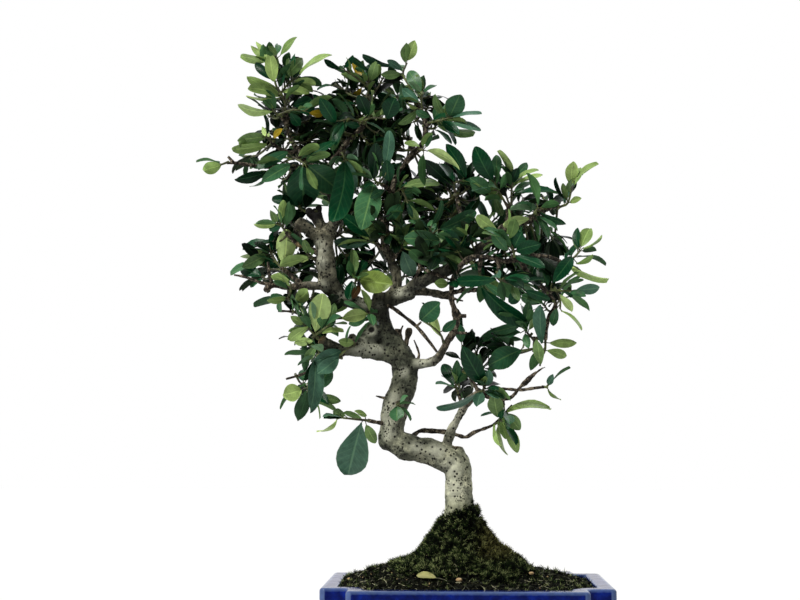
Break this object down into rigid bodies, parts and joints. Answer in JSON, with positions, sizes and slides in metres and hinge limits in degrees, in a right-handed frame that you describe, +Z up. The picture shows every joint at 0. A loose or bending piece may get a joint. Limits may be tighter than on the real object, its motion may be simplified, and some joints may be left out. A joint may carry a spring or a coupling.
{
  "type": "potted pyracantha bonsai",
  "caption": "Small evergreen bonsai tree with a bent trunk and leafy crown, rooted in mossy soil in a rectangular glazed pot with indented corners.",
  "frame": {"origin": "middle of the whole plant's outer box, on the level that the pot's feet stand on", "axes": "+Z up the tree, +X along the pot's long side to the right, -Y towards the front of the tree"},
  "size_m": [0.3268, 0.1908, 0.5094],
  "materials": {
    "glaze": "gloss",
    "soil": "matte",
    "moss": "matte",
    "bark": "matte",
    "foliage": "satin",
    "fallen_leaf": "matte",
    "pebble": "matte"
  },
  "bodies": {
    "root": {"pot": "glaze", "soil": "soil", "moss": "moss", "trunk_and_branches": "bark", "shoot_crown_left": "foliage", "shoot_crown_left_low": "foliage", "shoot_left_upper": "foliage", "shoot_far_left": "foliage", "shoot_left_heart": "foliage", "shoot_left_middle": "foliage", "shoot_left_low": "foliage", "shoot_left_limb": "foliage", "shoot_left_arm": "foliage", "shoot_left_face": "foliage", "shoot_centre_left": "foliage", "shoot_lower_left_fan": "foliage", "shoot_lower_left_end": "foliage", "shoot_trunk_left": "foliage", "shoot_trunk_face": "foliage", "shoot_heart_left": "foliage", "shoot_heart_upper": "foliage", "shoot_heart_right": "foliage", "shoot_centre_right": "foliage", "shoot_centre_low": "foliage", "shoot_right_face": "foliage", "shoot_top_left_inner": "foliage", "shoot_top_centre": "foliage", "shoot_top_left": "foliage", "shoot_top_right": "foliage", "shoot_crown": "foliage", "shoot_crown_right": "foliage", "shoot_crown_low": "foliage", "shoot_upper_heart": "foliage", "shoot_upper_right": "foliage", "shoot_right_inner": "foliage", "shoot_right_upper": "foliage", "shoot_right_crown": "foliage", "shoot_right_face_upper": "foliage", "shoot_right_end_upper": "foliage", "shoot_right_heart": "foliage", "shoot_right_end": "foliage", "shoot_right_low": "foliage", "shoot_right_drooping": "foliage", "shoot_right_long": "foliage", "shoot_right_lower_end": "foliage", "shoot_right_cluster": "foliage", "shoot_low_right_upper": "foliage", "shoot_low_right_small": "foliage", "shoot_low_right_end": "foliage", "shoot_low_right": "foliage", "shoot_back_crown": "foliage", "shoot_back_left": "foliage", "shoot_back_right": "foliage", "shoot_back_top": "foliage", "shoot_back_low": "foliage", "fallen_leaf": "fallen_leaf", "pebble_1": "pebble", "pebble_2": "pebble", "pebble_3": "pebble"}
  },
  "joints": []
}
